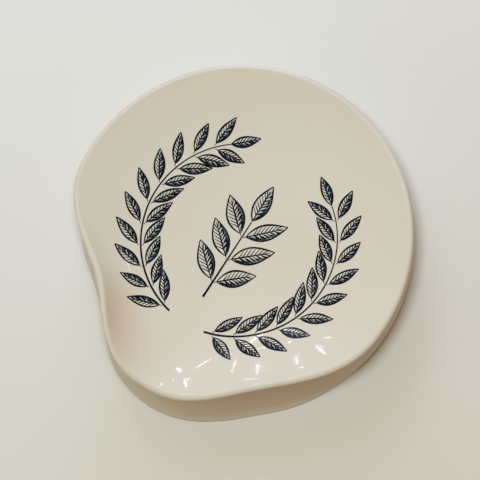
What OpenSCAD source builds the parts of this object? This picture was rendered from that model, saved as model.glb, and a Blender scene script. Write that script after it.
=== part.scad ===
// Small round spoon-lip dish: a glazed clay body on a foot ring, with a line print in its well.
// Millimetres, +Z up. The lip points to -Y, and the origin is on the table under the middle of the dish.

/* [Rim] */
// Radius of the round part of the rim, to its outer edge
rim_r = 66; // [58:0.5:80]
// Height of the rim above the table
rim_h = 26; // [24:0.5:32]
// Radius of the rolled edge of the rim
rim_round = 1.5; // [1.2:0.1:2.6]

/* [Well] */
// Height of the middle of the well above the table
well_h = 17; // [14:0.25:19]
// Slope of the well where it meets the rim, in degrees
well_slope = 22; // [18:1:30]
// Thickness of the floor under the middle of the well
floor_t = 5.5; // [4:0.25:7]

/* [Wall] */
// How far the wall draws in from the rim to its lower edge
wall_in = 2.8; // [0:0.1:5]
// Radius of the rounded lower edge of the wall
wall_edge = 0.8; // [0.7:0.1:4]

/* [Lip] */
// Half of the angle that the lip takes up, in degrees
lip_half_angle = 34; // [24:1:36]
// How far the lip dips below the rim
lip_dip = 4; // [0:0.25:6]
// How much rounder the edge of the lip is than the rim
lip_round = 0.3; // [0:0.1:1.5]
// Slope of the well where it meets the lip, in degrees
lip_slope = 14; // [10:1:20]
// How far the wall swells out under the lip
lip_swell = 5.7; // [1:0.1:7]
// Angle from the middle of the lip to the middle of that swelling, in degrees
swell_angle = 4.6; // [0:0.2:10]
// Half of the angle of that swelling, in degrees
swell_half_angle = 38; // [28:1:42]

/* [Pinches] */
// Angle from the middle of the lip to each pinch, in degrees
pinch_angle = 42; // [38:0.5:48]
// How far the left pinch pushes the rim in
pinch_left = 11.1; // [6:0.1:12]
// How far the right pinch pushes the rim in
pinch_right = 6.9; // [5:0.1:11]
// Angle over which a pinch fades out towards the lip, in degrees
pinch_near_angle = 38; // [30:1:44]
// Angle over which a pinch fades out along the rim, in degrees
pinch_fade_angle = 43; // [30:1:65]
// How far the left pinch pushes the wall in
wall_pinch = 5.7; // [3:0.1:9]
// Half of the angle of that dent in the wall, in degrees
dent_half_angle = 31; // [25:1:50]
// How much steeper the well is at the left pinch, in degrees
pinch_slope = 30; // [0:1:34]

/* [Foot] */
// How far the foot ring sits inside the narrowest part of the wall's rounded edge
foot_in = 1.3; // [1:0.1:6]
// Width of the foot ring
foot_w = 5.5; // [4:0.25:8]
// Height of the foot ring
foot_h = 0.8; // [0.7:0.1:3]
// Bevel on the two lower edges of the foot ring
foot_edge = 0.3; // [0.2:0.1:0.5]
// How far the side of the hollow under the floor leans in
hollow_lean = 2; // [0.5:0.1:5]

/* [Glaze] */
// Thickness of the glaze
glaze_t = 0.4; // [0.25:0.05:0.6]
// Width of the bare clay on each side of the foot ring
bare_w = 0.8; // [0.4:0.1:2]

/* [Print] */
// Thickness of the fired ink
ink_t = 0.12; // [0.08:0.02:0.2]
// Clearance between the ink and the glaze, so that the lines bridge its small facets
ink_gap = 0.04; // [0.03:0.01:0.1]
// Width of the drawn lines
line_w = 0.7; // [0.5:0.05:0.9]
// Width of the rib along the middle of a leaf
rib_w = 0.5; // [0.35:0.05:0.7]
// Distance from each end of a leaf to the end of its rib
rib_gap = 2.2; // [2:0.1:3]
// Clear space between neighbouring lines
line_gap = 0.6; // [0.4:0.05:1.2]
// Clear space between the print and the pinched rim
print_gap = 6.4; // [3:0.1:12]
// Length of a leaf on the two branches
leaf_l = 12; // [9:0.5:14]
// Width of a leaf on the two branches
leaf_w = 3.8; // [3:0.1:5]
// Angle between a leaf and its stem, in degrees
leaf_angle = 38; // [32:1:45]
// Angle from the lip to the foot of each branch, in degrees
branch_start_angle = 12; // [8:1:20]
// Angle from the lip to the top leaf of each branch, in degrees
branch_end_angle = 150; // [130:1:155]
// Length of a leaf on the sprig in the middle
sprig_leaf_l = 16; // [12:0.5:17]
// Width of a leaf on the sprig in the middle
sprig_leaf_w = 6.2; // [4.5:0.1:7]
// Angle between a leaf of the sprig and its stem, in degrees
sprig_angle = 48; // [42:1:55]
// Clear space between the sprig and the branches
sprig_gap = 2.5; // [2:0.5:6]

/* [Hidden] */
clay_colour = [0.86, 0.79, 0.68];
glaze_colour = [0.84, 0.81, 0.73];
ink_colour = [0.06, 0.11, 0.18];
lip_az = 270;
turns = 60;
turn_step = 360 / turns;
well_n = 12;
rim_n = 7;
wall_n = 7;
corner_n = 4;
round_fn = 96;
leaf_n = 8;
stem_n = 12;
rib_n = 4;

// Outline of the dish
// A smooth bump, 1 in its middle and 0 at w degrees to either side
function bump(d, w) = abs(d) >= w ? 0 : (1 + cos(180 * d / w)) / 2;
// A bump with its own width on each side
function uneven(d, before, after) = bump(d, d < 0 ? before : after);
function from_lip(az) = (az - lip_az + 540) % 360 - 180;
function lip_at(az) = bump(from_lip(az), lip_half_angle);
function left_at(az) = uneven(from_lip(az) + pinch_angle, pinch_fade_angle, pinch_near_angle);
function right_at(az) = uneven(from_lip(az) - pinch_angle, pinch_near_angle, pinch_fade_angle);
function rim_out(az) = rim_r - pinch_left * left_at(az) - pinch_right * right_at(az);
function swell_at(az) = bump(from_lip(az) - swell_angle, swell_half_angle);
function dent_at(az) = bump(from_lip(az) + pinch_angle, dent_half_angle);
function wall_out(az) = rim_r - wall_in + lip_swell * swell_at(az) - wall_pinch * dent_at(az);
function rim_top(az) = rim_h - lip_dip * lip_at(az);
function edge_round(az) = rim_round + lip_round * lip_at(az);
function edge_slope(az) = well_slope + (lip_slope - well_slope) * lip_at(az) + pinch_slope * left_at(az);

// Well: its height grows with a power of the distance from the middle, and it meets the rim's roll smoothly
function well_r(az) = rim_out(az) - edge_round(az) * (1 + sin(edge_slope(az)));
function well_top(az) = rim_top(az) - edge_round(az) * (1 - cos(edge_slope(az)));
function well_rise(az) = well_top(az) - well_h;
function well_power(az) = tan(edge_slope(az)) * well_r(az) / well_rise(az);
function well_z(az, share) = well_h + well_rise(az) * pow(share, well_power(az));
function well_tilt(az, share) = tan(edge_slope(az)) * pow(share, well_power(az) - 1);

// One radial section of the glazed surface, from the well to the foot, as [place, outward normal]
foot_r = rim_r - wall_in - wall_pinch - wall_edge - foot_in;
base_r = foot_r + bare_w;
base_h = foot_h - glaze_t;
hollow_r = foot_r - foot_w - bare_w;
hollow_h = well_h - floor_t;
function unit(v) = v / norm(v);
function well_part(az) = [for (k = [1:well_n])
    let (share = k / well_n)
    [[well_r(az) * share, well_z(az, share)], unit([-well_tilt(az, share), 1])]];
function rim_part(az) = [for (k = [1:rim_n])
    let (turn = (90 + edge_slope(az)) * (1 - k / rim_n), way = [cos(turn), sin(turn)])
    [[rim_out(az), rim_top(az)] + edge_round(az) * (way - [1, 1]), way]];
// The wall starts upright under the rim and leans more and more towards its rounded lower edge
function wall_high(az) = rim_top(az) - edge_round(az);
function wall_lean(az) = atan2(2 * (wall_out(az) - rim_out(az)), wall_high(az) - base_h - wall_edge);
function corner_at(az, turn) = [wall_out(az), base_h] + wall_edge * [cos(turn) - 1, sin(turn) + 1];
function wall_part(az) = [for (k = [1:wall_n])
    let (t = k / wall_n, low = corner_at(az, wall_lean(az)))
    let (step = low[0] - rim_out(az), drop = wall_high(az) - low[1])
    [[rim_out(az) + step * t * t, wall_high(az) - drop * t], unit([drop, 2 * step * t])]];
function corner_part(az) = [for (k = [1:corner_n])
    let (turn = wall_lean(az) - (90 + wall_lean(az)) * k / corner_n)
    [corner_at(az, turn), [cos(turn), sin(turn)]]];
function section(az) = concat(well_part(az), rim_part(az), wall_part(az), corner_part(az),
    [[[base_r, base_h], [0, -1]]]);
sections = [for (j = [0:turns - 1]) section(j * turn_step)];
ring_n = len(sections[0]);

// Rings of points round the dish: depth 0 is the glazed surface, and glaze_t the clay under it
function ring(k, depth) = [for (j = [0:turns - 1])
    let (az = j * turn_step, p = sections[j][k][0] - depth * sections[j][k][1])
    [p[0] * cos(az), p[0] * sin(az), p[1]]];
function rings(depth) = [for (k = [0:ring_n - 1]) each ring(k, depth)];
function circle_at(r, z) = [for (j = [0:turns - 1]) [r * cos(j * turn_step), r * sin(j * turn_step), z]];
function rings_back(depth) = [for (k = [ring_n - 1:-1:0]) each ring(k, depth)];

// Faces of a closed surface of revolution with a point at each end
function band_faces(n) = [for (k = [0:n - 2]) for (j = [0:turns - 1])
    let (next = (j + 1) % turns, a = 1 + k * turns, b = a + turns)
    each [[a + j, a + next, b + next], [a + j, b + next, b + j]]];
function end_faces(n) = [for (j = [0:turns - 1])
    let (next = (j + 1) % turns, last = 1 + (n - 1) * turns)
    each [[0, 1 + next, 1 + j], [last + turns, last + j, last + next]]];
module turned(top, points, bottom) {
    n = len(points) / turns;
    polyhedron(concat([top], points, [bottom]), concat(band_faces(n), end_faces(n)));
}

// The middle of the overall outline, which the origin lies under
outline = [for (j = [0:turns - 1])
    let (az = j * turn_step)
    max(rim_out(az), wall_out(az)) * [cos(az), sin(az)]];
outline_x = [for (p = outline) p[0]];
outline_y = [for (p = outline) p[1]];
middle = [max(outline_x) + min(outline_x), max(outline_y) + min(outline_y)] / 2;
module centred() {
    translate([-middle[0], -middle[1], 0])
        children();
}

// Height of the glazed well at a place, on the flat facets between its points
well_edges = [for (j = [0:turns]) well_r(j * turn_step) * [cos(j * turn_step), sin(j * turn_step)]];
well_heights = [for (k = [0:well_n]) [for (j = [0:turns]) well_z(j * turn_step, k / well_n)]];
function cross2(a, b) = a[0] * b[1] - a[1] * b[0];
function facet_z(a, b, low, high, z) =
    let (w = b / high, u = ((1 - w) * high - a) / (high - low))
    u >= 0 ? u * z[0] + (1 - w - u) * z[1] + w * z[2]
    : let (s = a / low, t = (b - (1 - s) * low) / (high - low))
    s * z[0] + t * z[2] + (1 - s - t) * z[3];
function glaze_z(p) =
    let (j = floor(((atan2(p[1], p[0]) + 360) % 360) / turn_step))
    let (e = well_edges[j], f = well_edges[j + 1], area = cross2(e, f))
    let (a = cross2(p, f) / area, b = cross2(e, p) / area, k = min(floor((a + b) * well_n), well_n - 1))
    let (inner = well_heights[k], outer = well_heights[k + 1])
    facet_z(a, b, k / well_n, (k + 1) / well_n, [inner[j], outer[j], outer[j + 1], inner[j + 1]]);

// Drawn lines: four rails along a path, lying on the glaze
ink_top = ink_gap + ink_t;
function lifted(p, up) = [p[0], p[1], glaze_z(p) + up];
function rails(path, side, half) = [for (i = [0:len(path) - 1])
    let (left = path[i] + half * side[i], right = path[i] - half * side[i])
    each [lifted(left, ink_top), lifted(right, ink_top), lifted(right, ink_gap), lifted(left, ink_gap)]];
function rail_faces(n, closed) = [for (i = [0:n - (closed ? 1 : 2)]) for (q = [0:3])
    let (a = 4 * i, b = 4 * ((i + 1) % n), r = (q + 1) % 4)
    each [[a + q, b + q, b + r], [a + q, b + r, a + r]]];
function cap_faces(n) = [[0, 1, 2], [0, 2, 3],
    [4 * n - 1, 4 * n - 2, 4 * n - 3], [4 * n - 1, 4 * n - 3, 4 * n - 4]];
function left_of(v) = unit([-v[1], v[0]]);
function sides(path, closed) = [for (i = [0:len(path) - 1])
    let (n = len(path), back = closed ? (i + n - 1) % n : max(i - 1, 0))
    let (on = closed ? (i + 1) % n : min(i + 1, n - 1))
    left_of(path[on] - path[back])];
function open_line(path, half) =
    [rails(path, sides(path, false), half), concat(rail_faces(len(path), false), cap_faces(len(path)))];
function closed_line(path, half) = [rails(path, sides(path, true), half), rail_faces(len(path), true)];

// A leaf: its outline and its middle rib
function leaf_place(root, way, len, wide, t, side) =
    root + way * len * t + left_of(way) * side * wide / 2 * sin(180 * t);
function leaf_share(i) = (1 - cos(180 * i / leaf_n)) / 2;
function leaf_loop(root, way, len, wide) = concat(
    [for (i = [0:leaf_n]) leaf_place(root, way, len, wide, leaf_share(i), -1)],
    [for (i = [leaf_n - 1:-1:1]) leaf_place(root, way, len, wide, leaf_share(i), 1)]);
function leaf_rib(root, way, len) = [for (i = [0:rib_n])
    root + way * (rib_gap + (len - 2 * rib_gap) * i / rib_n)];
function leaf(root, way, len, wide) = [
    closed_line(leaf_loop(root, way, len, wide), line_w / 2),
    open_line(leaf_rib(root, way, len), rib_w / 2)];

// Several drawn lines as one set of separate solids
function starts(lines) = [for (i = 0, n = 0; i < len(lines); n = n + len(lines[i][0]), i = i + 1) n];
module inked(lines) {
    first = starts(lines);
    points = [for (l = lines) each l[0]];
    faces = [for (i = [0:len(lines) - 1]) for (f = lines[i][1]) [for (v = f) v + first[i]]];
    polyhedron(points, faces);
}

// Layout of the print: a ring of two branches round a sprig
stem_gap = line_w + line_gap;
leaf_reach = stem_gap + leaf_l * sin(leaf_angle) + line_w;
print_r = rim_r - max(pinch_left, pinch_right) - rim_round * (1 + sin(well_slope)) - print_gap;
branch_r = print_r - leaf_reach;
branch_pitch = (leaf_w + line_w + line_gap) / sin(leaf_angle);
branch_turn = 180 / PI * branch_pitch / branch_r;
branch_pairs = floor((branch_end_angle - branch_start_angle) / branch_turn);
sprig_r = branch_r - leaf_reach - sprig_gap;
sprig_pitch = (sprig_leaf_w + line_w + line_gap) / sin(sprig_angle);
sprig_pairs = floor((2 * sprig_r - sprig_leaf_l - stem_gap) / sprig_pitch);
sprig_top = sprig_r - sprig_leaf_l - stem_gap;
function turned_way(way, by) = [way[0] * cos(by) - way[1] * sin(by), way[0] * sin(by) + way[1] * cos(by)];

// side is 1 for the branch on the right of the lip, and -1 for the one on its left
function branch_at(side, turn) = branch_r * [side * sin(turn), -cos(turn)];
function branch_way(side, turn) = [side * cos(turn), sin(turn)];
function branch_stem(side) = open_line(
    [for (i = [0:branch_pairs * 3]) branch_at(side, branch_start_angle + i * branch_turn / 3)], line_w / 2);
function pair(root, way, len, wide, angle) = [for (s = [-1, 1])
    each leaf(root + s * stem_gap * left_of(way), turned_way(way, s * angle), len, wide)];
function branch(side) = concat([branch_stem(side)],
    [for (i = [0:branch_pairs - 1])
        let (turn = branch_start_angle + (i + 0.5) * branch_turn)
        each pair(branch_at(side, turn), branch_way(side, turn), leaf_l, leaf_w, leaf_angle)],
    let (turn = branch_start_angle + branch_pairs * branch_turn, way = branch_way(side, turn))
    leaf(branch_at(side, turn) + stem_gap * way, way, leaf_l, leaf_w));
function sprig_stem() = open_line(
    [for (i = [0:stem_n]) [0, -sprig_r + (sprig_top + sprig_r) * i / stem_n]], line_w / 2);
function sprig() = concat([sprig_stem()],
    [for (i = [0:sprig_pairs - 1])
        let (root = [0, sprig_top - (i + 0.5) * sprig_pitch])
        each pair(root, [0, 1], sprig_leaf_l, sprig_leaf_w, sprig_angle)],
    leaf([0, sprig_top + stem_gap], [0, 1], sprig_leaf_l, sprig_leaf_w));

// Clay dish
module clay_body() {
    color(clay_colour)
        centred()
            turned([0, 0, well_h - glaze_t],
                concat(rings(glaze_t), circle_at(hollow_r, foot_h),
                    circle_at(hollow_r - hollow_lean, hollow_h)),
                [0, 0, hollow_h]);
}

// Ring that the dish stands on, bevelled along its lower edges
module foot_ring() {
    in_r = foot_r - foot_w;
    color(clay_colour)
        centred()
            rotate_extrude($fn = round_fn)
                polygon([[in_r + foot_edge, 0], [foot_r - foot_edge, 0], [foot_r, foot_edge],
                    [foot_r, foot_h], [in_r, foot_h], [in_r, foot_edge]]);
}

// Glaze over the well, the rim and the wall
module glaze_coat() {
    color(glaze_colour)
        centred()
            turned([0, 0, well_h], concat(rings(0), rings_back(glaze_t)), [0, 0, well_h - glaze_t]);
}

// Glaze under the floor, inside the foot ring
module base_glaze() {
    color(glaze_colour)
        centred()
            translate([0, 0, hollow_h - glaze_t])
                cylinder(h = glaze_t, r = hollow_r - hollow_lean - bare_w, $fn = round_fn);
}

// Upright sprig in the middle of the print
module print_sprig() {
    color(ink_colour)
        centred()
            inked(sprig());
}

// Curved branch on the left of the print
module print_branch_left() {
    color(ink_colour)
        centred()
            inked(branch(-1));
}

// Curved branch on the right of the print
module print_branch_right() {
    color(ink_colour)
        centred()
            inked(branch(1));
}

clay_body();
foot_ring();
glaze_coat();
base_glaze();
print_sprig();
print_branch_left();
print_branch_right();
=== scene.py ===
# %% [markdown]
# A small glazed dish with a spoon lip
#
# The dish is fired clay under a glossy cream glaze, with a navy line print in its well. The solids of the
# construction come in first, as the frame that every piece here has to fit. They are right in size and place,
# but they are made of small flat facets, so the scene draws each of them again as a smooth surface.

import bpy
import numpy as np
from mathutils import Matrix, Vector


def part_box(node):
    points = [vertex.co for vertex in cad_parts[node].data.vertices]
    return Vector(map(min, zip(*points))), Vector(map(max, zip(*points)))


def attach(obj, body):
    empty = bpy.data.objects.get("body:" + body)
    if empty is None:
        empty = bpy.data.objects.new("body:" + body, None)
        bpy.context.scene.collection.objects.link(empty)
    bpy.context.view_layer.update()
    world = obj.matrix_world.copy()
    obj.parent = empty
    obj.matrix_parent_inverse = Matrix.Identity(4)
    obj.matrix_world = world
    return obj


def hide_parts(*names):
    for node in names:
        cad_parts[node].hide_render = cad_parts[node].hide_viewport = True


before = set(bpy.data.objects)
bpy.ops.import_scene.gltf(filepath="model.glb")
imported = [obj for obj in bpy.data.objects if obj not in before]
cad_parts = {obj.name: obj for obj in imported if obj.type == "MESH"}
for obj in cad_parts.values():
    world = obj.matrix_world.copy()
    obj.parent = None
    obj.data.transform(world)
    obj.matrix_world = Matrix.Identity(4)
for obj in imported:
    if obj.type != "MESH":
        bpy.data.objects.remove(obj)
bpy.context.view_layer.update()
foot_low, foot_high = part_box("foot_ring")
axis_mm = np.array((foot_low + foot_high)[:2]) / 2 * 1000
print("solids:", sorted(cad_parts), "axis of the dish at", axis_mm.round(2), "mm")

# %% [markdown]
# Sizes
#
# These are the driving sizes of the dish in millimetres, the same ones that its construction uses, and angles
# in degrees. Only the last step of each piece turns millimetres into Blender's metres, so that every number
# in between reads like one on a drawing.

# %% Sizes of the dish
rim_r, rim_h, rim_round = 66.0, 26.0, 1.5
well_h, well_slope, floor_t = 17.0, 22.0, 5.5
wall_in, wall_edge = 2.8, 0.8
lip_half_angle, lip_dip, lip_round, lip_slope = 34.0, 4.0, 0.3, 14.0
lip_swell, swell_angle, swell_half_angle = 5.7, 4.6, 38.0
pinch_angle, pinch_left, pinch_right = 42.0, 11.1, 6.9
pinch_near_angle, pinch_fade_angle, pinch_slope = 38.0, 43.0, 30.0
wall_pinch, dent_half_angle = 5.7, 31.0
foot_in, foot_w, foot_h, foot_edge, hollow_lean = 1.3, 5.5, 0.8, 0.3, 2.0
glaze_t, bare_w = 0.4, 0.8
lip_az = 270.0

foot_r = rim_r - wall_in - wall_pinch - wall_edge - foot_in
base_r, base_h = foot_r + bare_w, foot_h - glaze_t
hollow_r, hollow_h = foot_r - foot_w - bare_w, well_h - floor_t
print("foot ring radius", round(foot_r, 2), "mm, hollow", round(hollow_h, 2), "mm high")

# %% [markdown]
# Outline
#
# A potter throws the dish round, and then pushes the rim in with two fingers, so that a lip is left between
# the two pinches. Seen from above the outline is a circle less two smooth bumps. It could be traced with a
# curve, but as a formula it can be asked for its radius at any angle, and every other surface follows from
# it.


# %% Outline seen from above
def bump(d, w):
    """A raised cosine: 1 where d is 0, falling smoothly to 0 where d reaches w on either side."""
    return np.where(np.abs(d) < w, (1 + np.cos(np.pi * d / w)) / 2, 0)


def from_lip(az):
    """The angle from the middle of the lip: az less lip_az, brought between -180 and 180."""
    return (az - lip_az + 540) % 360 - 180


def lip_at(az):
    """1 in the middle of the lip, and 0 outside it."""
    return bump(from_lip(az), lip_half_angle)


def pinch_at(d):
    """1 in the middle of a pinch, fading more slowly along the rim (d below 0) than towards the lip."""
    return bump(d, np.where(d < 0, pinch_fade_angle, pinch_near_angle))


def left_at(az):
    """The share of the left pinch, whose middle lies pinch_angle before the lip."""
    return pinch_at(from_lip(az) + pinch_angle)


def right_at(az):
    """The share of the right pinch, whose middle lies pinch_angle after the lip."""
    return pinch_at(pinch_angle - from_lip(az))


def rim_out(az):
    """The rim's outer radius: the circle less one bump for each pinch."""
    return rim_r - pinch_left * left_at(az) - pinch_right * right_at(az)


def wall_out(az):
    """The wall's radius at its lower edge: drawn in, swollen under the lip and dented at the left pinch."""
    swell = bump(from_lip(az) - swell_angle, swell_half_angle)
    dent = bump(from_lip(az) + pinch_angle, dent_half_angle)
    return rim_r - wall_in + lip_swell * swell - wall_pinch * dent


probe = np.linspace(0, 360, 720, endpoint=False)
print("rim radius from", rim_out(probe).min().round(2), "to", rim_out(probe).max().round(2), "mm")

# %% [markdown]
# Well
#
# The well is nearly flat in the middle and steeper towards the rim, like a saucer. A power of the radius does
# that, and the power is chosen at each angle so that the well reaches the rim at the rim's own slope. The lip
# is lower and flatter than the rest, and the left pinch is steep where the finger pushed.


# %% Well and rim
def edge_round(az):
    """The radius of the rolled edge: rim_round, plus lip_round in the middle of the lip."""
    return rim_round + lip_round * lip_at(az)


def edge_slope(az):
    """The slope where the well meets the roll: lip_slope on the lip, pinch_slope more in the left pinch."""
    return np.radians(well_slope + (lip_slope - well_slope) * lip_at(az) + pinch_slope * left_at(az))


def rim_top(az):
    """The height of the rim: rim_h, less lip_dip in the middle of the lip."""
    return rim_h - lip_dip * lip_at(az)


def well_edge(az):
    """Where the well meets the roll: rim_out - round (1 + sin slope) and rim_top - round (1 - cos slope)."""
    r = rim_out(az) - edge_round(az) * (1 + np.sin(edge_slope(az)))
    return r, rim_top(az) - edge_round(az) * (1 - np.cos(edge_slope(az)))


def well_power(az):
    """The power that brings the well to the rim at the rim's own slope: slope times r / rise."""
    r, z = well_edge(az)
    return np.tan(edge_slope(az)) * r / (z - well_h)


def well_height(az, r):
    """Height of the well: its lowest height plus its rise times (radius / edge radius) to a power."""
    edge_r, edge_z = well_edge(az)
    return well_h + (edge_z - well_h) * (r / edge_r) ** well_power(az)


print("the well rises with the radius to the power", well_power(probe).min().round(1), "to",
      well_power(probe).max().round(1))

# %% [markdown]
# Section
#
# Cut the dish through its axis, and the glazed surface is one line: it rises from the middle of the well,
# rolls over the rim, drops down the wall, turns under at a rounded edge and runs in to the foot. Each stretch
# is written so that it leaves where the last one arrives and in the same direction. That matters on a glossy
# surface, because a reflection shows every kink. A stretch gives its radius, its height and its normal's two
# parts, across and up.


# %% Stretches of the section
def steps(n):
    """The shares 1/n, 2/n and so on to 1, down a column, so that the angles can lie along the rows."""
    return (np.arange(1, n + 1) / n)[:, None]


def well_line(az, n):
    """Out along the well: the slope grows with r to the power less one, and the normal is (-slope, 1)."""
    edge_r, _ = well_edge(az)
    slope = np.tan(edge_slope(az)) * steps(n) ** (well_power(az) - 1)
    return edge_r * steps(n), well_height(az, edge_r * steps(n)), -slope, 1 + 0 * slope


def roll_line(az, n):
    """Over the rim: part of a circle, from the slope of the well to the upright wall."""
    turn = (np.pi / 2 + edge_slope(az)) * (1 - steps(n))
    c, s = np.cos(turn), np.sin(turn)
    return rim_out(az) + edge_round(az) * (c - 1), rim_top(az) + edge_round(az) * (s - 1), c, s


def wall_lean(az):
    """The lean of the wall at its foot: on a parabola that starts upright, twice the mean lean."""
    drop = rim_top(az) - edge_round(az) - base_h - wall_edge
    return np.arctan2(2 * (wall_out(az) - rim_out(az)), drop)


def wall_line(az, n):
    """Down the wall: it starts upright and moves sideways with the square of the way down."""
    t, lean, high = steps(n), wall_lean(az), rim_top(az) - edge_round(az)
    step = wall_out(az) + wall_edge * (np.cos(lean) - 1) - rim_out(az)
    drop = high - base_h - wall_edge * (np.sin(lean) + 1)
    return rim_out(az) + step * t ** 2, high - drop * t, drop + 0 * t, 2 * step * t


def corner_line(az, n):
    """Round the lower edge: part of a circle, from the lean of the wall to straight down."""
    lean = wall_lean(az)
    turn = lean - (np.pi / 2 + lean) * steps(n)
    c, s = np.cos(turn), np.sin(turn)
    return wall_out(az) + wall_edge * (c - 1), base_h + wall_edge * (s + 1), c, s


print("the wall leans out by up to", np.degrees(wall_lean(probe)).max().round(1), "degrees at its foot")

# %% [markdown]
# The whole line
#
# The stretches are laid end to end, and one last point takes the glaze in to the foot. Asked for many angles
# at once, the section answers with a whole grid: rows along the line, columns round the axis.


# %% Section through the axis
def section(az, well_n, roll_n, wall_n, corner_n):
    """Places (r, z) and unit normals of the glazed line at each angle, from the well to the foot."""
    flat = 0 * az[None]
    to_foot = (flat + base_r, flat + base_h, flat, flat - 1)
    lines = [well_line(az, well_n), roll_line(az, roll_n), wall_line(az, wall_n),
             corner_line(az, corner_n), to_foot]
    r, z, across, up = (np.concatenate(x) for x in zip(*lines))
    length = np.hypot(across, up)
    return np.stack([r, z], -1), np.stack([across, up], -1) / length[..., None]


print("section grid", section(probe, 4, 3, 3, 2)[0].shape)

# %% [markdown]
# From rows of points to a mesh
#
# Every round piece here is a grid: rows along the section, columns round the axis. Blender can spin a
# profile, but a spin keeps one profile all the way round, and this dish changes with the angle. So numpy
# works out the whole grid at once, and the faces are plain index arithmetic on it.


# %% Grids and their faces
def around(rz, az):
    """Turns rows of (radius, height) at each angle into points: (r cos az, r sin az, z)."""
    a = np.radians(az)
    return np.stack([rz[..., 0] * np.cos(a), rz[..., 0] * np.sin(a), rz[..., 1]], -1)


def band_quads(rows, columns, wraps=False):
    """Corner numbers of the quads between neighbouring rows; the columns always go round."""
    r = np.arange(rows if wraps else rows - 1)[:, None]
    c = np.arange(columns)[None]
    on, beside = (r + 1) % rows, (c + 1) % columns
    corners = [r * columns + c, on * columns + c, on * columns + beside, r * columns + beside]
    return np.stack(corners, -1).reshape(-1, 4).tolist()


def pole_fans(rows, columns):
    """Triangles from a point at each end, numbered after the grid, to the first and the last row."""
    c, count = np.arange(columns), rows * columns
    beside, last = (c + 1) % columns, count - columns
    first = np.stack([0 * c + count, c, beside], -1)
    final = np.stack([last + c, 0 * c + count + 1, last + beside], -1)
    return np.concatenate([first, final]).tolist()


print("3 rows of 4 make", len(band_quads(3, 4)), "quads and", len(pole_fans(3, 4)), "triangles at the poles")

# %% [markdown]
# Pieces
#
# A piece is made in one place, so that all of them get the same care: moved to the axis of the dish, turned
# into metres, shaded smooth, and kept sharp only where two faces meet at a real edge.

# %% Pieces
sharp_angle = 40.0


def piece(name, points_mm, faces):
    """A smooth-shaded object at the origin: each point plus the axis, over 1000, is its place in metres."""
    points = points_mm.reshape(-1, 3) + [*axis_mm, 0]
    mesh = bpy.data.meshes.new(name)
    mesh.from_pydata((points / 1000).tolist(), [], faces)
    mesh.shade_smooth()
    mesh.set_sharp_from_angle(angle=np.radians(sharp_angle))
    obj = bpy.data.objects.new(name, mesh)
    bpy.context.scene.collection.objects.link(obj)
    print(name, len(mesh.polygons), "faces")
    return obj


def turned_piece(name, rows, top_z, bottom_z):
    """A closed body of rows of points with a pole on the axis at each end."""
    count, columns = rows.shape[:2]
    poles = np.array([[0, 0, top_z], [0, 0, bottom_z]])
    points = np.concatenate([rows.reshape(-1, 3), poles])
    return piece(name, points, band_quads(count, columns) + pole_fans(count, columns))


print("edges of more than", sharp_angle, "degrees stay sharp")

# %% [markdown]
# Glaze
#
# Glaze is a skin of glass less than half a millimetre thick. It is drawn as a closed shell: the glazed line
# of the section on the outside, and the same line moved in along its normals on the inside. The outer rows
# are close together, since the light plays on them. The inner ones are never seen and can be few.

# %% Glaze coat
well_rows, roll_rows, wall_rows, corner_rows = 70, 22, 26, 12
columns = np.linspace(0, 360, 320, endpoint=False)
outer, _ = section(columns, well_rows, roll_rows, wall_rows, corner_rows)
inner, inner_normal = section(columns, well_n=18, roll_n=8, wall_n=8, corner_n=4)
inner = inner - glaze_t * inner_normal
shell = np.concatenate([around(outer, columns), around(inner[::-1], columns)])
glaze_coat = turned_piece("glaze_coat_smooth", shell, well_h, well_h - glaze_t)

# %% [markdown]
# Painted shade on the glaze
#
# The near wall stands in shade, and so does the inside of the left pinch, which also mirrors something dark.
# Both are painted into the glaze as a warm brown: on the outside of the near wall, darkest just under the
# rim and gone at the foot, and in the well beside the left pinch. This could be painted by hand. Here the
# points of the grid know how far along the section and round the dish they lie, so two shares on them,
# "outside" and "lean", tell the material where; "lean" carries the painted shade.

# %% Lean glaze
# Angles are from the lip. The other values are shares of the way up the well, over the rim or down the wall,
# apart from the two depths of the painted shade, in the pinch and down the wall, which are shares of its full
# depth.
painted_shade_from, painted_shade_to, painted_shade_fade_in, painted_shade_fade_out = 47, 110, 82, 60
pinch_shade_angle, pinch_shade_half_angle, pinch_shade_depth = -24, 29, 0.5
pinch_shade_from, pinch_shade_full, pinch_shade_end = 0.68, 0.92, 0.5
outside_from, shade_foot_fade_from, shade_drop_share = 0.6, 0.77, 0.42


def ramp(x, start, end):
    """0 before start, 1 after end, and straight between the two."""
    return np.clip((x - start) / (end - start), 0, 1)


row, across = np.arange(len(outer))[:, None], from_lip(columns)
up_well, over_rim = row / well_rows, (row - well_rows) / roll_rows
down_wall = ramp(row, well_rows + roll_rows, well_rows + roll_rows + wall_rows)
outside = ramp(over_rim, outside_from, 1) + 0 * across
# Painted shade on the near wall, which faces away from the light: darkest just under the rim, lighter down the
# wall, and gone at the foot.
shade_down_wall = 1 - shade_drop_share * down_wall - (1 - shade_drop_share) * ramp(down_wall, shade_foot_fade_from, 1)
shaded_near_side = bump(np.maximum(painted_shade_from - across, 0), painted_shade_fade_in)
shaded_near_side = shaded_near_side * bump(np.maximum(across - painted_shade_to, 0), painted_shade_fade_out)
# Painted shade and a painted dark reflection in the well beside the left pinch, where the steep glaze faces
# away from the light.
pinch_shade_share = ramp(up_well, pinch_shade_from, pinch_shade_full) * ramp(over_rim, pinch_shade_end, 0)
pinch_shade_share = pinch_shade_share * bump(across - pinch_shade_angle, pinch_shade_half_angle)
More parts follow.
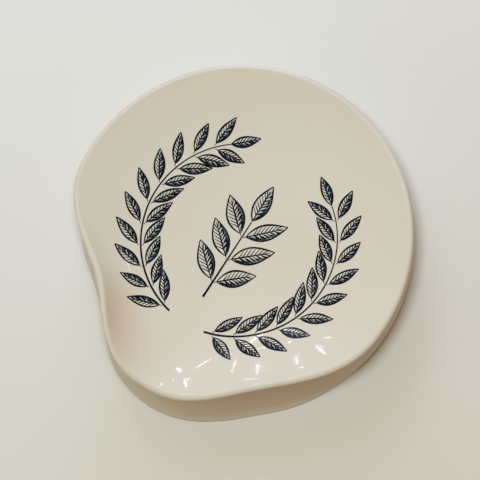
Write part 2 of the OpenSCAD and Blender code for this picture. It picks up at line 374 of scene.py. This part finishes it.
# lean is the depth of painted shade at each point: on the near wall, and beside the left pinch.
lean = outside * shade_down_wall * shaded_near_side + pinch_shade_depth * pinch_shade_share
for name, share in (("outside", outside), ("lean", lean)):
    values = np.zeros(len(glaze_coat.data.vertices))
    values[:share.size] = share.ravel()
    glaze_coat.data.attributes.new(name, "FLOAT", "POINT").data.foreach_set("value", values)
print("lean glaze up to", lean.max().round(2), "on", int((lean > 0).sum()), "points")

# %% [markdown]
# Clay
#
# Under the glaze is the clay, which only shows below, on the side of the hollow under the floor. Its skin is
# the glazed line moved in by the thickness of the glaze, so clay and glaze fit each other everywhere.


# %% Clay body
def ring_rows(profile, az):
    """Carries an (r, z) profile once round the axis."""
    rz = np.array(profile, float)[:, None, :] + np.zeros((1, len(az), 1))
    return around(rz, az)


def arc(r, z, radius, start, end, n=7):
    """Points of a round edge about (r, z), from one angle to another: the centre plus radius (cos, sin)."""
    a = np.radians(np.linspace(start, end, n))
    return np.stack([r + radius * np.cos(a), z + radius * np.sin(a)], -1).tolist()


fewer = np.linspace(0, 360, 160, endpoint=False)
skin, skin_normal = section(fewer, well_n=18, roll_n=8, wall_n=8, corner_n=6)
hollow_edge, roof_round = 0.5, 1.5
roof_r = hollow_r - hollow_lean
mouth_r = hollow_r + hollow_edge
hollow = [[mouth_r, foot_h], *arc(mouth_r, foot_h + hollow_edge, hollow_edge, 270, 180, 4),
          *arc(roof_r - roof_round, hollow_h - roof_round, roof_round, 10, 90, 6)]
clay_rows = np.concatenate([around(skin - glaze_t * skin_normal, fewer), ring_rows(hollow, fewer)])
clay_body = turned_piece("clay_body_smooth", clay_rows, well_h - glaze_t, hollow_h)

# %% [markdown]
# Foot and base
#
# The dish stands on a low ring, wiped clean of glaze so that it doesn't stick to the kiln shelf. A glazed
# disc covers the roof of the hollow. Its edge is rounded, because glaze draws up into a bead where it ends.
# Both are plain profiles carried round the axis.

# %% Foot ring and base glaze
foot_inner = foot_r - foot_w
foot_profile = [[foot_inner, foot_h], [foot_r, foot_h],
                *arc(foot_r - foot_edge, foot_edge, foot_edge, 0, -90),
                *arc(foot_inner + foot_edge, foot_edge, foot_edge, -90, -180)]
foot_faces = band_quads(len(foot_profile), len(fewer), wraps=True)
foot_ring = piece("foot_ring_smooth", ring_rows(foot_profile, fewer), foot_faces)

bead = glaze_t / 2
disc_r = roof_r - 2 * bare_w
disc_profile = [[disc_r - bead, hollow_h], *arc(disc_r - bead, hollow_h - bead, bead, 90, -90, 9)]
base_glaze = turned_piece("base_glaze_smooth", ring_rows(disc_profile, fewer), hollow_h, hollow_h - glaze_t)

# %% [markdown]
# Pen strokes
#
# The print is drawn like an engraving: outlines that swell and taper, ribs and veins, and short strokes for
# shade. It could be painted in the material, but then its lines are only as sharp as the pattern that makes
# them. Here each stroke is a thin closed ribbon that follows the well, so the lines stay crisp from close by.

# %% Ink ribbons
ink_rise, ink_root = 0.06, 0.03


def in_well(xy, lift):
    """Puts flat points on the glazed well: z is its height at their radius and angle, plus lift."""
    r = np.hypot(xy[..., 0], xy[..., 1])
    az = np.degrees(np.arctan2(xy[..., 1], xy[..., 0])) % 360
    return np.concatenate([xy, (well_height(az, r) + lift)[..., None]], -1)


def ribbons(paths, widths):
    """Points and faces of many strokes at once: paths are (strokes, points, 2) and widths (strokes, points).

    Each point of a path becomes four: left and right above the glaze, and right and left just under it.
    The left is the path's direction turned by a right angle, times half of the width there.
    """
    count, n = paths.shape[:2]
    way = np.gradient(paths, axis=1)
    way /= np.linalg.norm(way, axis=-1, keepdims=True) + 1e-9
    side = np.stack([-way[..., 1], way[..., 0]], -1) * widths[..., None] / 2
    left, right = paths + side, paths - side
    rails = [in_well(left, ink_rise), in_well(right, ink_rise),
             in_well(right, -ink_root), in_well(left, -ink_root)]
    points = np.stack(rails, 2).reshape(-1, 3)
    start = (np.arange(count) * n * 4)[:, None, None]
    here = start + np.arange(n - 1)[None, :, None] * 4
    q = np.arange(4)[None, None]
    on = (q + 1) % 4
    sides = np.stack([here + q, here + 4 + q, here + 4 + on, here + on], -1).reshape(-1, 4)
    near = start[:, 0] + np.array([[0, 1, 2, 3]])
    far = start[:, 0] + (n - 1) * 4 + np.array([[3, 2, 1, 0]])
    return points, np.concatenate([sides, near, far])


print("ink stands", ink_rise, "mm above the glaze and", ink_root, "mm in it")

# %% [markdown]
# Pressure of the pen
#
# A drawn line is never quite even. It starts thin, swells under the hand and ends thin, and it wavers. Random
# numbers give each stroke its own waver. They come from one generator with a fixed seed, so the drawing is
# the same every time.

# %% Pressure of the pen
seed = 12
hand = np.random.default_rng(seed)
waver_share, slowest_beat, fastest_beat = 0.12, 4, 9
full_turn, swell_power = 6.28, 0.6


def pressed(width, count, n, thin=0.25):
    """Widths of strokes: thin at both ends, the sine of pi t to swell_power between, times a slow wave."""
    t = np.linspace(0, 1, n)[None]
    phase = hand.uniform(0, full_turn, (count, 1))
    beat = hand.uniform(slowest_beat, fastest_beat, (count, 1))
    waver = 1 + waver_share * np.sin(beat * t + phase)
    return width * (thin + (1 - thin) * np.sin(np.pi * t) ** swell_power) * waver


def print_piece(name, strokes):
    """One object from several sets of strokes, the faces of each set numbered after the sets before it."""
    sets = [ribbons(paths, widths) for paths, widths in strokes]
    first = np.cumsum([0] + [len(p) for p, _ in sets])
    faces = np.concatenate([f + k for (_, f), k in zip(sets, first)])
    return piece(name, np.concatenate([p for p, _ in sets]), faces.tolist())


print("strokes waver by up to", round(100 * waver_share), "%")

# %% [markdown]
# The map of a leaf
#
# A leaf has its own flat map: t runs from its stalk to its tip, and u from its left edge at 1 to its right
# edge at -1. Every stroke of every leaf is drawn on that map once, and the map then carries it to all leaves
# together, each with its own root, direction, length and width.

# %% Map of a leaf
leaf_l, leaf_w, leaf_angle = 12.0, 3.8, 38.0
sprig_leaf_l, sprig_leaf_w, sprig_angle = 16.0, 6.2, 48.0
belly_power = 0.85


def on_leaf(leaves, t, u):
    """Places of map points (strokes, n) on every leaf: along the rib by t, and out from it by u half-widths.

    The half-width is half the leaf's width times the sine of pi t to belly_power, so the belly sits low.
    The rib bends to one side with the square of t.
    """
    root, way, size, bend = (x[:, None, None] for x in leaves)
    side = np.stack([-way[..., 1], way[..., 0]], -1)
    half = np.sin(np.pi * np.clip(t, 0, 1) ** belly_power) * size[..., 1] / 2
    out = u * half + bend * size[..., 0] * np.clip(t, 0, 1) ** 2
    places = root + way * (size[..., 0] * t)[..., None] + side * out[..., None]
    return places.reshape(-1, *t.shape[-1:], 2)


print("leaves", leaf_l, "by", leaf_w, "mm, on the sprig", sprig_leaf_l, "by", sprig_leaf_w, "mm")

# %% [markdown]
# Strokes of a leaf
#
# An engraver draws the two edges first, then the rib with its stalk, then pairs of veins, and last the shade:
# short strokes that start at one edge and run back towards the stalk, some longer than others.

# %% Strokes of a leaf
line_w, rib_w, vein_w, shade_w = 0.72, 0.6, 0.38, 0.46
edge_n, rib_n, vein_n, shade_n = 22, 14, 6, 5
edge_thin, shade_thin, rib_end = 0.45, 0.35, 0.9
vein_first, vein_last, vein_shift = 0.14, 0.7, 0.04
vein_rise, vein_reach, vein_curve = 0.17, 0.86, 1.2
shade_first, shade_last, shade_edge = 0.16, 0.84, 0.97
shade_fall, shade_reach, shade_change = 0.13, 0.62, 0.22
uneven_turn = 2.4  # about the golden angle in radians, so that long and short strokes never fall into step


def leaf_strokes(leaves, stalk, veins, shades):
    """Edges at u = 1 and -1, the rib at 0, veins out to vein_reach, and shade in from -shade_edge."""
    count = len(leaves[0])
    t = np.linspace(0, 1, edge_n)
    edge = on_leaf(leaves, np.stack([t, t]), np.stack([1 + 0 * t, -1 - 0 * t]))
    rib_t = np.linspace(-stalk, rib_end, rib_n)[None]
    rib = on_leaf(leaves, rib_t, 0 * rib_t)

    s = np.linspace(0, 1, vein_n)[None]
    foot = np.linspace(vein_first, vein_last, veins)[:, None]
    vein_t, vein_u = foot + vein_rise * s, vein_reach * s ** vein_curve + 0 * foot
    both_t = np.concatenate([vein_t, vein_t + vein_shift])
    vein = on_leaf(leaves, both_t, np.concatenate([vein_u, -vein_u]))

    s = np.linspace(0, 1, shade_n)[None]
    foot = np.linspace(shade_first, shade_last, shades)[:, None]
    reach = shade_reach - shade_change * np.cos(np.arange(shades) * uneven_turn)[:, None]
    shade = on_leaf(leaves, foot - shade_fall * s * reach / shade_reach, -(shade_edge - reach * s))
    return [(edge, pressed(line_w, 2 * count, edge_n, edge_thin)), (rib, pressed(rib_w, count, rib_n)),
            (vein, pressed(vein_w, 2 * veins * count, vein_n)),
            (shade, pressed(shade_w, shades * count, shade_n, shade_thin))]


print("pen widths", line_w, rib_w, vein_w, shade_w, "mm")

# %% [markdown]
# Layout of the print
#
# Two branches lie round the well like a wreath, and a sprig stands in the middle, all pointing away from the
# lip. The pitch of the leaves follows from their width and their angle, so that neighbours never touch, and
# the number of pairs follows from the room there is.

# %% Layout of the print
line_gap, print_gap, sprig_gap = 0.6, 6.4, 2.5
branch_start_angle, branch_end_angle = 12.0, 150.0
stem_gap = line_w + line_gap
leaf_reach = stem_gap + leaf_l * np.sin(np.radians(leaf_angle)) + line_w
well_edge_r = rim_r - max(pinch_left, pinch_right) - rim_round * (1 + np.sin(np.radians(well_slope)))
branch_r = well_edge_r - print_gap - leaf_reach
branch_turn = np.degrees((leaf_w + line_w + line_gap) / np.sin(np.radians(leaf_angle)) / branch_r)
branch_pairs = int((branch_end_angle - branch_start_angle) / branch_turn)
sprig_r = branch_r - leaf_reach - sprig_gap
sprig_pitch = (sprig_leaf_w + line_w + line_gap) / np.sin(np.radians(sprig_angle))
sprig_pairs = int((2 * sprig_r - sprig_leaf_l - stem_gap) / sprig_pitch)
sprig_top = sprig_r - sprig_leaf_l - stem_gap
print("pairs of leaves:", branch_pairs, "on a branch and", sprig_pairs, "on the sprig")

# %% [markdown]
# Leaves on a stem
#
# Leaves stand in pairs, one on each side of the stem, at the same angle to it. No two are quite alike: each
# gets a slightly different size and a slight bend of its own.

# %% Leaves on a stem
smallest_leaf, largest_leaf, most_bend = 0.93, 1.04, 0.05


def turned_way(way, degrees):
    """Turns directions: (x cos a - y sin a, x sin a + y cos a)."""
    a = np.radians(degrees)
    return np.stack([way[..., 0] * np.cos(a) - way[..., 1] * np.sin(a),
                     way[..., 0] * np.sin(a) + way[..., 1] * np.cos(a)], -1)


def both_sides(root, way, angle):
    """Roots, stem_gap out from the stem, and directions of a leaf on each side of every place on it."""
    side = stem_gap * np.stack([-way[:, 1], way[:, 0]], -1)
    roots = np.concatenate([root + side, root - side])
    return roots, np.concatenate([turned_way(way, angle), turned_way(way, -angle)])


def leaf_set(roots, ways, length, width):
    """Gives each leaf its root, direction, size and bend, with small differences between them."""
    n = len(roots)
    size = np.array([length, width]) * hand.uniform(smallest_leaf, largest_leaf, (n, 2))
    return roots, ways, size, hand.uniform(-most_bend, most_bend, n)


print("leaves start", round(stem_gap, 2), "mm from the middle of their stem")

# %% [markdown]
# Sprig
#
# The sprig has a straight stem that tapers upwards, its pairs of leaves, and one more leaf at the tip.

# %% Sprig
sprig_stem_n, sprig_taper = 40, (1.25, 0.6)


def sprig():
    """All strokes of the sprig: leaves in pairs every sprig_pitch down from its top, a tip leaf and a stem."""
    y = sprig_top - (np.arange(sprig_pairs) + 0.5) * sprig_pitch
    stem_at, upwards = np.stack([0 * y, y], -1), np.tile([0.0, 1.0], (len(y), 1))
    roots, ways = both_sides(stem_at, upwards, sprig_angle)
    roots = np.concatenate([roots, [[0, sprig_top + stem_gap]]])
    leaves = leaf_set(roots, np.concatenate([ways, [[0, 1]]]), sprig_leaf_l, sprig_leaf_w)
    stem_y = np.linspace(-sprig_r, sprig_top + stem_gap / 2, sprig_stem_n)
    stem = np.stack([0 * stem_y, stem_y], -1)
    stem_width = np.linspace(*sprig_taper, sprig_stem_n)[None] * line_w
    return leaf_strokes(leaves, stalk=0.08, veins=7, shades=15) + [(stem[None], stem_width)]


print_sprig = print_piece("print_sprig_drawn", sprig())

# %% [markdown]
# Branches
#
# Each branch is the same drawing on an arc round the middle of the well. The left one is the mirror image of
# the right one in its layout, but its strokes waver in their own way.

# %% Branches
branch_stem_n, branch_taper = 90, (1.15, 0.55)


def arc_stem(turn, side):
    """Places and directions on a branch, by the angle turned from the lip: branch_r (side sin, -cos)."""
    a = np.radians(turn)
    places = branch_r * np.stack([side * np.sin(a), -np.cos(a)], -1)
    return places, np.stack([side * np.cos(a), np.sin(a)], -1)


def branch(side):
    """All strokes of the branch on the right of the lip for side 1, or on its left for -1."""
    turns = branch_start_angle + (np.arange(branch_pairs) + 0.5) * branch_turn
    roots, ways = both_sides(*arc_stem(turns, side), leaf_angle)
    end = branch_start_angle + branch_pairs * branch_turn
    tip, tip_way = arc_stem(np.array([end]), side)
    roots, ways = np.concatenate([roots, tip + stem_gap * tip_way]), np.concatenate([ways, tip_way])
    leaves = leaf_set(roots, ways, leaf_l, leaf_w)
    stem_turns = np.linspace(branch_start_angle, end + branch_turn / 8, branch_stem_n)
    stem, _ = arc_stem(stem_turns, side)
    stem_width = np.linspace(*branch_taper, branch_stem_n)[None] * line_w
    return leaf_strokes(leaves, stalk=0.1, veins=6, shades=11) + [(stem[None], stem_width)]


print_left = print_piece("print_branch_left_drawn", branch(-1))
print_right = print_piece("print_branch_right_drawn", branch(1))

# %% [markdown]
# Colours and nodes
#
# Colours are written as the hex values that one reads from a screen, and Blender wants light in linear
# amounts, so one function turns the first into the second. A second small function adds a node, sets it and
# links it, which keeps each material to a list of what it is made of.


# %% Material helpers
def linear(hex_colour):
    """sRGB hex to linear RGBA: below 0.04045 divide by 12.92, else ((c + 0.055) / 1.055) to the power 2.4."""
    c = np.array([int(hex_colour[i:i + 2], 16) for i in (1, 3, 5)]) / 255
    return (*np.where(c < 0.04045, c / 12.92, ((c + 0.055) / 1.055) ** 2.4), 1.0)


def add(tree, kind, values=None, links=None):
    """Adds a node, sets its inputs or its own settings by name, and links outputs of other nodes to it."""
    n = tree.nodes.new(kind)
    for key, value in (values or {}).items():
        if isinstance(key, int) or key in n.inputs:
            n.inputs[key].default_value = value
        else:
            setattr(n, key, value)
    for key, output in (links or {}).items():
        tree.links.new(output, n.inputs[key])
    return n


def material(name):
    """A new material with its Principled shader and its Object coordinates."""
    made = bpy.data.materials.new(name)
    made.use_nodes = True
    tree = made.node_tree
    coords = add(tree, "ShaderNodeTexCoord").outputs["Object"]
    return made, tree, tree.nodes["Principled BSDF"], coords


def per_mm(size):
    """The texture scale at which a pattern's cells are this many millimetres wide: 1000 / size."""
    return 1000 / size


print("half grey on a screen is", round(linear("#808080")[0], 2), "of white in light")

# %% [markdown]
# Cream glaze
#
# A clear, slightly milky glaze over pale clay: hard and glossy as window glass, with an index of refraction
# near 1.5. Its cream drifts a little from place to place. Where the share "lean" is high, a warm brown is
# mixed in: painted shade on the near wall, and painted shade and a dark reflection beside the left pinch.

# %% Colour of the glaze
glaze, tree, shader, coords = material("glossy cream glaze")
shader.inputs["IOR"].default_value = 1.5
drift = add(tree, "ShaderNodeTexNoise", {"Scale": per_mm(38), "Detail": 2.0}, {"Vector": coords})
cream = add(tree, "ShaderNodeMix", {"data_type": "RGBA", 6: linear("#d0c8b8"), 7: linear("#d6cebf")},
            {0: drift.outputs["Fac"]})
# Painted shade: where the share "lean" is high, the cream turns the warm brown #bd9e83.
painted_shade_share = add(tree, "ShaderNodeAttribute", {"attribute_name": "lean"})
cream_with_painted_shade = add(tree, "ShaderNodeMix", {"data_type": "RGBA", 7: linear("#bd9e83")},
              {0: painted_shade_share.outputs["Fac"], 6: cream.outputs[2]})
print(glaze.name, "with", len(tree.nodes), "nodes so far")

# %% [markdown]
# Specks and gloss
#
# A few iron specks have come up from the clay. They sit in the cells of a pattern 13 mm wide, most of which
# stay empty. The surface is very slightly wavy, so that reflections bend a little. On the outside, where the
# share "outside" is 1, the glaze is more satin than in the well.

# %% Specks and gloss
cells = add(tree, "ShaderNodeTexVoronoi", {"Scale": per_mm(13)}, {"Vector": coords})
chosen = add(tree, "ShaderNodeMapRange", {"From Min": 0.62, "From Max": 0.66},
             {"Value": cells.outputs["Color"]})
dot = add(tree, "ShaderNodeMapRange", {"From Min": 0.034, "From Max": 0.012},
          {"Value": cells.outputs["Distance"]})
speck = add(tree, "ShaderNodeMath", {"operation": "MULTIPLY"}, {0: chosen.outputs[0], 1: dot.outputs[0]})
speckled = add(tree, "ShaderNodeMix", {"data_type": "RGBA", 7: linear("#a8987a")},
               {0: speck.outputs[0], 6: cream_with_painted_shade.outputs[2]})
wave = add(tree, "ShaderNodeTexNoise", {"Scale": per_mm(14), "Detail": 1.0}, {"Vector": coords})
wavy = add(tree, "ShaderNodeBump", {"Strength": 0.04, "Distance": 0.0001}, {"Height": wave.outputs["Fac"]})
wall_side = add(tree, "ShaderNodeAttribute", {"attribute_name": "outside"})
gloss = add(tree, "ShaderNodeMapRange", {"To Min": 0.045, "To Max": 0.42},
            {"Value": wall_side.outputs["Fac"]})
tree.links.new(speckled.outputs[2], shader.inputs["Base Color"])
tree.links.new(wavy.outputs[0], shader.inputs["Normal"])
tree.links.new(gloss.outputs[0], shader.inputs["Roughness"])
print(glaze.name, "with", len(tree.nodes), "nodes")

# %% [markdown]
# Bare fired clay
#
# Where there is no glaze the clay is dry and matt, a shade warmer, and sandy to the touch. Real grit is finer
# than a render can show, so it is drawn coarser, at about half a millimetre.

# %% Bare fired clay
clay, tree, shader, coords = material("bare fired clay")
shader.inputs["Roughness"].default_value = 0.85
shader.inputs["IOR"].default_value = 1.45
grit = add(tree, "ShaderNodeTexNoise", {"Scale": per_mm(0.6), "Detail": 4.0}, {"Vector": coords})
patch = add(tree, "ShaderNodeTexNoise", {"Scale": per_mm(9), "Detail": 3.0}, {"Vector": coords})
warm = add(tree, "ShaderNodeMix", {"data_type": "RGBA", 6: linear("#cbb797"), 7: linear("#ddcdb1")},
           {0: patch.outputs["Fac"]})
sandy = add(tree, "ShaderNodeBump", {"Strength": 0.6, "Distance": 0.00015}, {"Height": grit.outputs["Fac"]})
tree.links.new(warm.outputs[2], shader.inputs["Base Color"])
tree.links.new(sandy.outputs[0], shader.inputs["Normal"])
print(clay.name, "with", len(tree.nodes), "nodes")

# %% [markdown]
# Navy ink
#
# The ink is a cobalt and iron colour fired into the glaze, so it is nearly as smooth. It mirrors less than
# the bare glaze, which keeps its lines dark under the lamps. It was laid unevenly, in patches of 2 or 3 mm,
# and where it is thin the cream shines through and the navy turns lighter and greyer.

# %% Navy ink
ink, tree, shader, coords = material("fired navy ink")
shader.inputs["Roughness"].default_value = 0.1
shader.inputs["Specular IOR Level"].default_value = 0.2
thin = add(tree, "ShaderNodeTexNoise", {"Scale": per_mm(2.5), "Detail": 4.0}, {"Vector": coords})
share = add(tree, "ShaderNodeMapRange", {"From Min": 0.5, "From Max": 0.8}, {"Value": thin.outputs["Fac"]})
navy = add(tree, "ShaderNodeMix", {"data_type": "RGBA", 6: linear("#081522"), 7: linear("#20364a")},
           {0: share.outputs[0]})
tree.links.new(navy.outputs[2], shader.inputs["Base Color"])
print(ink.name, "with", len(tree.nodes), "nodes")

# %% [markdown]
# Fitting the pieces to the frame
#
# Each smooth piece takes the place of its solid and keeps to the same body, so that anything that reads the
# solids still finds one piece for each of them.

# %% Pieces on the frame
fitted = [
    (glaze_coat, "glaze_coat", glaze, "glaze"), (base_glaze, "base_glaze", glaze, "glaze"),
    (clay_body, "clay_body", clay, "clay"), (foot_ring, "foot_ring", clay, "clay"),
    (print_sprig, "print_sprig", ink, "ink"), (print_left, "print_branch_left", ink, "ink"),
    (print_right, "print_branch_right", ink, "ink"),
]
for obj, solid, finish, slot in fitted:
    obj.data.materials.append(finish)
    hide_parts(solid)
    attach(obj, "root")
print(len(fitted), "pieces stand for their solids")

# %% [markdown]
# Table
#
# The dish stands on a pale painted table, one large plane at the height of the foot. Its satin paint is
# painted lighter and cooler on the window side and darker and warmer on the near side: painted light that
# falls off away from the window.

# %% Table
table_half, painted_falloff_half = 4.0, 0.16
painted_falloff_way = (0.84, -0.54, 0)
mesh = bpy.data.meshes.new("table")
corners = [(-1, -1, 0), (1, -1, 0), (1, 1, 0), (-1, 1, 0)]
mesh.from_pydata((np.array(corners) * table_half).tolist(), [], [(0, 1, 2, 3)])
table = bpy.data.objects.new("table", mesh)
bpy.context.scene.collection.objects.link(table)

paint, tree, shader, coords = material("pale satin paint")
shader.inputs["Roughness"].default_value = 0.55
# Painted light: the table's colour goes from lighter and cooler towards the window to darker and warmer on the
# near side.
along = add(tree, "ShaderNodeVectorMath", {"operation": "DOT_PRODUCT", 1: painted_falloff_way}, {0: coords})
painted_falloff = add(tree, "ShaderNodeMapRange", {"From Min": -painted_falloff_half, "From Max": painted_falloff_half},
           {"Value": along.outputs["Value"]})
pale = add(tree, "ShaderNodeMix", {"data_type": "RGBA", 6: linear("#dfe0db"), 7: linear("#d0c7ba")},
           {0: painted_falloff.outputs[0]})
tree.links.new(pale.outputs[2], shader.inputs["Base Color"])
table.data.materials.append(paint)
print("table", 2 * table_half, "m wide")

# %% [markdown]
# Lamps
#
# Most of the light falls from a ceiling light almost straight above, so the near wall is left in shade and
# the well looks even. Cool daylight comes in from a far window, and a little light from the left. The ceiling
# light and the upper part of the window are hidden from reflections, since their round edges would show in
# the glossy well. The two low lamps may show, because only the rim and the wall mirror them.


# %% Ceiling light and daylight
def toward(azimuth, elevation):
    """The direction to a place in the room: (cos e cos a, cos e sin a, sin e)."""
    a, e = np.radians([azimuth, elevation])
    return np.array([np.cos(e) * np.cos(a), np.cos(e) * np.sin(a), np.sin(e)])


def lamp(name, place, wide, tall, watts, colour, lights=True, mirrored=False, along=(1, 0, 0)):
    """A flat lamp that faces the dish from a place in metres.

    Its third axis points away from the dish, and its wide side lies along the part of a direction that is
    square to that axis.
    """
    data = bpy.data.lights.new(name, "AREA")
    data.shape, data.size, data.size_y = "ELLIPSE", wide, tall
    data.energy, data.color = watts, linear(colour)[:3]
    away, along = Vector(place).normalized(), Vector(along)
    beside = (along - along.dot(away) * away).normalized()
    axes = Matrix((beside, away.cross(beside), away)).transposed()
    obj = bpy.data.objects.new(name, data)
    obj.matrix_world = Matrix.Translation(Vector(place)) @ axes.to_4x4()
    obj.visible_diffuse, obj.visible_glossy = lights, mirrored
    bpy.context.scene.collection.objects.link(obj)


ceiling_m, window_m = 2.0, 1.6
lamp("ceiling light", toward(330, 86) * ceiling_m, wide=0.6, tall=0.6, watts=27.3, colour="#e6f3ff")
lamp("far window", toward(140, 45) * window_m, wide=0.6, tall=0.6, watts=3.9, colour="#cad9ff")
lamp("sky in the far window", toward(122, 18) * window_m, wide=0.8, tall=0.8, watts=7.2, colour="#ccd0ff",
     mirrored=True)
lamp("left window", toward(230, 16) * window_m, wide=0.7, tall=0.7, watts=2.4, colour="#f2e6dc",
     mirrored=True)

# %% [markdown]
# Room
#
# Warm light that the room throws back fills the shadows. It comes from the world, which is also what the
# glaze mirrors: dim and warm all round, with a soft glow where the window is. The glow is a power of the
# cosine of the angle from the window, so it has no edge that a reflection could show.

# %% Room
window_way, glow_power, room_dim, room_glow = toward(140, 40), 12.0, 0.295, 0.84
world = bpy.data.worlds.new("warm room")
bpy.context.scene.world = world
world.use_nodes = True
tree = world.node_tree
looking = add(tree, "ShaderNodeTexCoord").outputs["Generated"]
facing = add(tree, "ShaderNodeVectorMath", {"operation": "DOT_PRODUCT", 1: tuple(window_way)}, {0: looking})
ahead = add(tree, "ShaderNodeMath", {"operation": "MAXIMUM", 1: 0.0}, {0: facing.outputs["Value"]})
glow = add(tree, "ShaderNodeMath", {"operation": "POWER", 1: glow_power}, {0: ahead.outputs[0]})
sky = add(tree, "ShaderNodeMix", {"data_type": "RGBA", 6: linear("#ffe598"), 7: linear("#f3eef0")},
          {0: glow.outputs[0]})
strength = add(tree, "ShaderNodeMapRange", {"To Min": room_dim, "To Max": room_glow},
               {"Value": glow.outputs[0]})
backdrop = tree.nodes["Background"]
tree.links.new(sky.outputs[2], backdrop.inputs["Color"])
tree.links.new(strength.outputs[0], backdrop.inputs["Strength"])
print("a glow from", window_way.round(2))

# %% [markdown]
# Camera
#
# The dish is seen from almost straight above, with a long lens, so that its near wall just shows below the
# rim. The camera is also turned about its line of sight, since the lip points down and to the left in the
# picture.

# %% Camera
view_azimuth, view_elevation, view_roll = 327.1, 76.0, -24.8
camera_distance, picture_width_mm, sensor_mm = 2.5, 179.8, 36.0
aim_height_mm, aim_right_mm, aim_up_mm = 13.0, -0.12, 1.32
back, sideways = toward(view_azimuth, view_elevation), toward(view_azimuth + 90, 0)
roll = np.radians(view_roll)
right = np.cos(roll) * sideways + np.sin(roll) * np.cross(back, sideways)
up = np.cross(back, right)
aim = (np.array([*axis_mm, aim_height_mm]) + aim_right_mm * right + aim_up_mm * up) / 1000
eye = aim + back * camera_distance

lens = bpy.data.cameras.new("camera")
lens.sensor_width = sensor_mm
lens.lens = sensor_mm * camera_distance * 1000 / picture_width_mm
lens.clip_end = 20
camera = bpy.data.objects.new("camera", lens)
pose = np.eye(4)
pose[:3] = np.stack([right, up, back, eye], -1)
camera.matrix_world = Matrix(pose.tolist())
bpy.context.scene.collection.objects.link(camera)
bpy.context.scene.camera = camera
bpy.context.scene.view_settings.view_transform = "Standard"
print("lens", round(lens.lens), "mm")

# %% [markdown]
# Glints
#
# A glossy glaze mirrors every small bright thing in the room, such as a bulb or a gap in a blind. Here each
# one is a lamp that lights nothing and only shows as a reflection. Where it has to hang follows from where
# its reflection lies, because light leaves a mirror at the angle at which it came. So a glint is given by its
# two ends on the well, each as an angle from the lip and a share of the way out to the rim, and by the width
# of its lamp in metres.

# %% Glints
glint_distance, glint_watts, glint_step = 2.0, 42.0, 0.05
glints = [
    ((5, 0.97), (6, 0.97), 0.012), ((13, 0.9), (14, 0.9), 0.012), ((15, 0.82), (19.5, 0.77), 0.02),
    ((36.5, 0.95), (40, 0.955), 0.01), ((41.5, 0.85), (41, 0.925), 0.01), ((44, 0.75), (45, 0.75), 0.016),
    ((59, 0.65), (65.5, 0.72), 0.024), ((68, 0.82), (69, 0.905), 0.02), ((-48, 0.81), (-44, 0.81), 0.05),
]


def lamp_place(across, share):
    """The place that the well shows to the camera: along 2 (v . n) n - v, for the view v and the normal n.

    The normal comes from the heights of the well glint_step millimetres to each side.
    """
    az = np.radians(lip_az + across)
    spot = share * well_edge(lip_az + across)[0] * np.array([np.cos(az), np.sin(az)])
    beside = glint_step * np.array([[0, 0], [1, 0], [-1, 0], [0, 1], [0, -1]])
    points = in_well(spot + beside, 0)
    z = points[:, 2]
    normal = np.array([z[2] - z[1], z[4] - z[3], 2 * glint_step])
    normal /= np.linalg.norm(normal)
    point = (points[0] + [*axis_mm, 0]) / 1000
    view = (eye - point) / np.linalg.norm(eye - point)
    return point + glint_distance * (2 * (view @ normal) * normal - view)


for k, (start, end, width) in enumerate(glints):
    start, end = lamp_place(*start), lamp_place(*end)
    middle, length = (start + end) / 2, width + np.linalg.norm(end - start)
    watts = glint_watts * length * width
    lamp(f"glint {k + 1}", middle, length, width, watts, "#dbe6ff", lights=False, mirrored=True,
         along=end - start)
    print(f"glint {k + 1}: lamp {length:.3f} m long at", middle.round(2))
